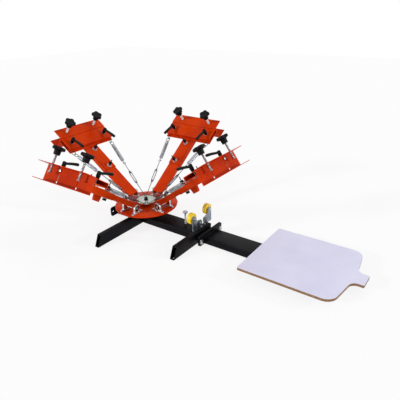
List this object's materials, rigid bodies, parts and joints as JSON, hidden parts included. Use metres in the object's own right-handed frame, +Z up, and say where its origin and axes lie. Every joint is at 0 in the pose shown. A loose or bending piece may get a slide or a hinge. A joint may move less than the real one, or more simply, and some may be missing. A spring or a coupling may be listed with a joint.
{
  "type": "screen printing press",
  "caption": "Table-top rotary screen printing press: hinged spring-raised screen arms on a turntable, with a roller gate and one flat pallet.",
  "frame": {"origin": "on the table, below the middle of the turntable, on the underside of the base beam", "axes": "+X along the base beam towards the pallet, +Z up, +Y to the left of the beam seen from the hub"},
  "size_m": [1.8667, 1.1774, 0.5718],
  "materials": {
    "orange_powder_coat": "satin powder coat",
    "black_powder_coat": "satin powder coat",
    "zinc_plate": "bright zinc",
    "spring_steel": "bright drawn wire",
    "black_plastic": "fine moulded",
    "yellow_tyre": "cast polyurethane",
    "laminated_board": "smooth laminate"
  },
  "bodies": {
    "root": {"base_beam": "black_powder_coat", "rear_foot": "black_powder_coat", "front_foot": "black_powder_coat", "pallet_arm": "black_powder_coat", "pallet": "laminated_board", "flange_bolts": "zinc_plate", "gate_plates": "zinc_plate", "gate_bolts": "zinc_plate", "center_post": "black_powder_coat"},
    "wheel": {"turntable": "orange_powder_coat", "pillow_blocks": "zinc_plate", "pillow_bolts": "zinc_plate", "hub_plate": "zinc_plate"},
    "near_roller": {"roller_near": "yellow_tyre"},
    "far_roller": {"roller_far": "yellow_tyre"},
    "height_stop": {"stop_bolt": "zinc_plate"},
    "arm_body_0": {"arm_0": "orange_powder_coat", "carriage_0": "orange_powder_coat"},
    "registration_body_0": {"registration_channel_0": "orange_powder_coat"},
    "holder_body_0": {"screen_holder_0": "orange_powder_coat"},
    "spring_line_0": {"turnbuckles_0": "zinc_plate", "springs_0": "spring_steel"},
    "spring_hook_0": {"spring_hooks_0": "spring_steel"},
    "knob_body_right_0": {"knob_right_0": "black_plastic"},
    "lever_body_right_0": {"lever_right_0": "black_plastic"},
    "knob_body_left_0": {"knob_left_0": "black_plastic"},
    "lever_body_left_0": {"lever_left_0": "black_plastic"},
    "arm_body_1": {"arm_1": "orange_powder_coat", "carriage_1": "orange_powder_coat"},
    "registration_body_1": {"registration_channel_1": "orange_powder_coat"},
    "holder_body_1": {"screen_holder_1": "orange_powder_coat"},
    "spring_line_1": {"turnbuckles_1": "zinc_plate", "springs_1": "spring_steel"},
    "spring_hook_1": {"spring_hooks_1": "spring_steel"},
    "knob_body_right_1": {"knob_right_1": "black_plastic"},
    "lever_body_right_1": {"lever_right_1": "black_plastic"},
    "knob_body_left_1": {"knob_left_1": "black_plastic"},
    "lever_body_left_1": {"lever_left_1": "black_plastic"},
    "arm_body_2": {"arm_2": "orange_powder_coat", "carriage_2": "orange_powder_coat"},
    "registration_body_2": {"registration_channel_2": "orange_powder_coat"},
    "holder_body_2": {"screen_holder_2": "orange_powder_coat"},
    "spring_line_2": {"turnbuckles_2": "zinc_plate", "springs_2": "spring_steel"},
    "spring_hook_2": {"spring_hooks_2": "spring_steel"},
    "knob_body_right_2": {"knob_right_2": "black_plastic"},
    "lever_body_right_2": {"lever_right_2": "black_plastic"},
    "knob_body_left_2": {"knob_left_2": "black_plastic"},
    "lever_body_left_2": {"lever_left_2": "black_plastic"},
    "arm_body_3": {"arm_3": "orange_powder_coat", "carriage_3": "orange_powder_coat"},
    "registration_body_3": {"registration_channel_3": "orange_powder_coat"},
    "holder_body_3": {"screen_holder_3": "orange_powder_coat"},
    "spring_line_3": {"turnbuckles_3": "zinc_plate", "springs_3": "spring_steel"},
    "spring_hook_3": {"spring_hooks_3": "spring_steel"},
    "knob_body_right_3": {"knob_right_3": "black_plastic"},
    "lever_body_right_3": {"lever_right_3": "black_plastic"},
    "knob_body_left_3": {"knob_left_3": "black_plastic"},
    "lever_body_left_3": {"lever_left_3": "black_plastic"}
  },
  "joints": [
    {"name": "wheel_spin", "type": "hinge", "parent": "root", "child": "wheel", "pos_m": [0, 0, 0.093], "axis": [0, 0, 1], "continuous": true},
    {"name": "near_roller_spin", "type": "hinge", "parent": "root", "child": "near_roller", "pos_m": [0.3847, -0.071, 0.1385], "axis": [1, 0, 0], "continuous": true},
    {"name": "far_roller_spin", "type": "hinge", "parent": "root", "child": "far_roller", "pos_m": [0.3847, 0.071, 0.1385], "axis": [1, 0, 0], "continuous": true},
    {"name": "stop_height", "type": "slide", "parent": "root", "child": "height_stop", "axis": [0, 0, 1], "range_m": [-0.014, 0.006]},
    {"name": "arm_tilt_0", "type": "hinge", "parent": "wheel", "child": "arm_body_0", "pos_m": [0.126, 0, 0.126], "axis": [0, 1, 0], "range_deg": [0, 36], "stiffness_Nm_per_rad": 32, "springref_deg": -51.57},
    {"name": "spring_swing_0", "type": "hinge", "parent": "wheel", "child": "spring_line_0", "pos_m": [0.04714, 0, 0.1225], "axis": [0, 1, 0], "range_deg": [0, 30.55]},
    {"name": "spring_stretch_0", "type": "slide", "parent": "spring_line_0", "child": "spring_hook_0", "axis": [0.8217, 0, 0.5699], "range_m": [0, 0.01584], "deforming": ["springs_0"]},
    {"name": "registration_shift_0", "type": "slide", "parent": "arm_body_0", "child": "registration_body_0", "axis": [0, 1, 0], "range_m": [-0.007, 0.007]},
    {"name": "holder_height_0", "type": "slide", "parent": "registration_body_0", "child": "holder_body_0", "axis": [-0.5878, 0, 0.809], "range_m": [0, 0.045]},
    {"name": "knob_screw_right_0", "type": "slide", "parent": "holder_body_0", "child": "knob_body_right_0", "axis": [-0.5878, 0, 0.809], "range_m": [-0.042, 0]},
    {"name": "lever_turn_right_0", "type": "hinge", "parent": "arm_body_0", "child": "lever_body_right_0", "pos_m": [0.44685, -0.125, 0.42956], "axis": [-0.5878, 0, 0.809], "range_deg": [-60, 60]},
    {"name": "knob_screw_left_0", "type": "slide", "parent": "holder_body_0", "child": "knob_body_left_0", "axis": [-0.5878, 0, 0.809], "range_m": [-0.042, 0]},
    {"name": "lever_turn_left_0", "type": "hinge", "parent": "arm_body_0", "child": "lever_body_left_0", "pos_m": [0.44685, 0.125, 0.42956], "axis": [-0.5878, 0, 0.809], "range_deg": [-60, 60]},
    {"name": "arm_tilt_1", "type": "hinge", "parent": "wheel", "child": "arm_body_1", "pos_m": [0, 0.126, 0.126], "axis": [-1, 0, 0], "range_deg": [0, 36], "stiffness_Nm_per_rad": 32, "springref_deg": -51.57},
    {"name": "spring_swing_1", "type": "hinge", "parent": "wheel", "child": "spring_line_1", "pos_m": [0, 0.04714, 0.1225], "axis": [-1, 0, 0], "range_deg": [0, 30.55]},
    {"name": "spring_stretch_1", "type": "slide", "parent": "spring_line_1", "child": "spring_hook_1", "axis": [0, 0.8217, 0.5699], "range_m": [0, 0.01584], "deforming": ["springs_1"]},
    {"name": "registration_shift_1", "type": "slide", "parent": "arm_body_1", "child": "registration_body_1", "axis": [-1, 0, 0], "range_m": [-0.007, 0.007]},
    {"name": "holder_height_1", "type": "slide", "parent": "registration_body_1", "child": "holder_body_1", "axis": [0, -0.5878, 0.809], "range_m": [0, 0.045]},
    {"name": "knob_screw_right_1", "type": "slide", "parent": "holder_body_1", "child": "knob_body_right_1", "axis": [0, -0.5878, 0.809], "range_m": [-0.042, 0]},
    {"name": "lever_turn_right_1", "type": "hinge", "parent": "arm_body_1", "child": "lever_body_right_1", "pos_m": [0.125, 0.44685, 0.42956], "axis": [0, -0.5878, 0.809], "range_deg": [-60, 60]},
    {"name": "knob_screw_left_1", "type": "slide", "parent": "holder_body_1", "child": "knob_body_left_1", "axis": [0, -0.5878, 0.809], "range_m": [-0.042, 0]},
    {"name": "lever_turn_left_1", "type": "hinge", "parent": "arm_body_1", "child": "lever_body_left_1", "pos_m": [-0.125, 0.44685, 0.42956], "axis": [0, -0.5878, 0.809], "range_deg": [-60, 60]},
    {"name": "arm_tilt_2", "type": "hinge", "parent": "wheel", "child": "arm_body_2", "pos_m": [-0.126, 0, 0.126], "axis": [0, -1, 0], "range_deg": [0, 36], "stiffness_Nm_per_rad": 32, "springref_deg": -51.57},
    {"name": "spring_swing_2", "type": "hinge", "parent": "wheel", "child": "spring_line_2", "pos_m": [-0.04714, 0, 0.1225], "axis": [0, -1, 0], "range_deg": [0, 30.55]},
    {"name": "spring_stretch_2", "type": "slide", "parent": "spring_line_2", "child": "spring_hook_2", "axis": [-0.8217, 0, 0.5699], "range_m": [0, 0.01584], "deforming": ["springs_2"]},
    {"name": "registration_shift_2", "type": "slide", "parent": "arm_body_2", "child": "registration_body_2", "axis": [0, -1, 0], "range_m": [-0.007, 0.007]},
    {"name": "holder_height_2", "type": "slide", "parent": "registration_body_2", "child": "holder_body_2", "axis": [0.5878, 0, 0.809], "range_m": [0, 0.045]},
    {"name": "knob_screw_right_2", "type": "slide", "parent": "holder_body_2", "child": "knob_body_right_2", "axis": [0.5878, 0, 0.809], "range_m": [-0.042, 0]},
    {"name": "lever_turn_right_2", "type": "hinge", "parent": "arm_body_2", "child": "lever_body_right_2", "pos_m": [-0.44685, 0.125, 0.42956], "axis": [0.5878, 0, 0.809], "range_deg": [-60, 60]},
    {"name": "knob_screw_left_2", "type": "slide", "parent": "holder_body_2", "child": "knob_body_left_2", "axis": [0.5878, 0, 0.809], "range_m": [-0.042, 0]},
    {"name": "lever_turn_left_2", "type": "hinge", "parent": "arm_body_2", "child": "lever_body_left_2", "pos_m": [-0.44685, -0.125, 0.42956], "axis": [0.5878, 0, 0.809], "range_deg": [-60, 60]},
    {"name": "arm_tilt_3", "type": "hinge", "parent": "wheel", "child": "arm_body_3", "pos_m": [0, -0.126, 0.126], "axis": [1, 0, 0], "range_deg": [0, 36], "stiffness_Nm_per_rad": 32, "springref_deg": -51.57},
    {"name": "spring_swing_3", "type": "hinge", "parent": "wheel", "child": "spring_line_3", "pos_m": [0, -0.04714, 0.1225], "axis": [1, 0, 0], "range_deg": [0, 30.55]},
    {"name": "spring_stretch_3", "type": "slide", "parent": "spring_line_3", "child": "spring_hook_3", "axis": [0, -0.8217, 0.5699], "range_m": [0, 0.01584], "deforming": ["springs_3"]},
    {"name": "registration_shift_3", "type": "slide", "parent": "arm_body_3", "child": "registration_body_3", "axis": [1, 0, 0], "range_m": [-0.007, 0.007]},
    {"name": "holder_height_3", "type": "slide", "parent": "registration_body_3", "child": "holder_body_3", "axis": [0, 0.5878, 0.809], "range_m": [0, 0.045]},
    {"name": "knob_screw_right_3", "type": "slide", "parent": "holder_body_3", "child": "knob_body_right_3", "axis": [0, 0.5878, 0.809], "range_m": [-0.042, 0]},
    {"name": "lever_turn_right_3", "type": "hinge", "parent": "arm_body_3", "child": "lever_body_right_3", "pos_m": [-0.125, -0.44685, 0.42956], "axis": [0, 0.5878, 0.809], "range_deg": [-60, 60]},
    {"name": "knob_screw_left_3", "type": "slide", "parent": "holder_body_3", "child": "knob_body_left_3", "axis": [0, 0.5878, 0.809], "range_m": [-0.042, 0]},
    {"name": "lever_turn_left_3", "type": "hinge", "parent": "arm_body_3", "child": "lever_body_left_3", "pos_m": [0.125, -0.44685, 0.42956], "axis": [0, 0.5878, 0.809], "range_deg": [-60, 60]}
  ],
  "couplings": [
    {"joint": "spring_swing_0", "follows": "arm_tilt_0", "ratio": 0.84037},
    {"joint": "spring_stretch_0", "follows": "arm_tilt_0", "m_per_rad": 0.02474},
    {"joint": "spring_swing_1", "follows": "arm_tilt_1", "ratio": 0.84037},
    {"joint": "spring_stretch_1", "follows": "arm_tilt_1", "m_per_rad": 0.02474},
    {"joint": "spring_swing_2", "follows": "arm_tilt_2", "ratio": 0.84037},
    {"joint": "spring_stretch_2", "follows": "arm_tilt_2", "m_per_rad": 0.02474},
    {"joint": "spring_swing_3", "follows": "arm_tilt_3", "ratio": 0.84037},
    {"joint": "spring_stretch_3", "follows": "arm_tilt_3", "m_per_rad": 0.02474}
  ]
}
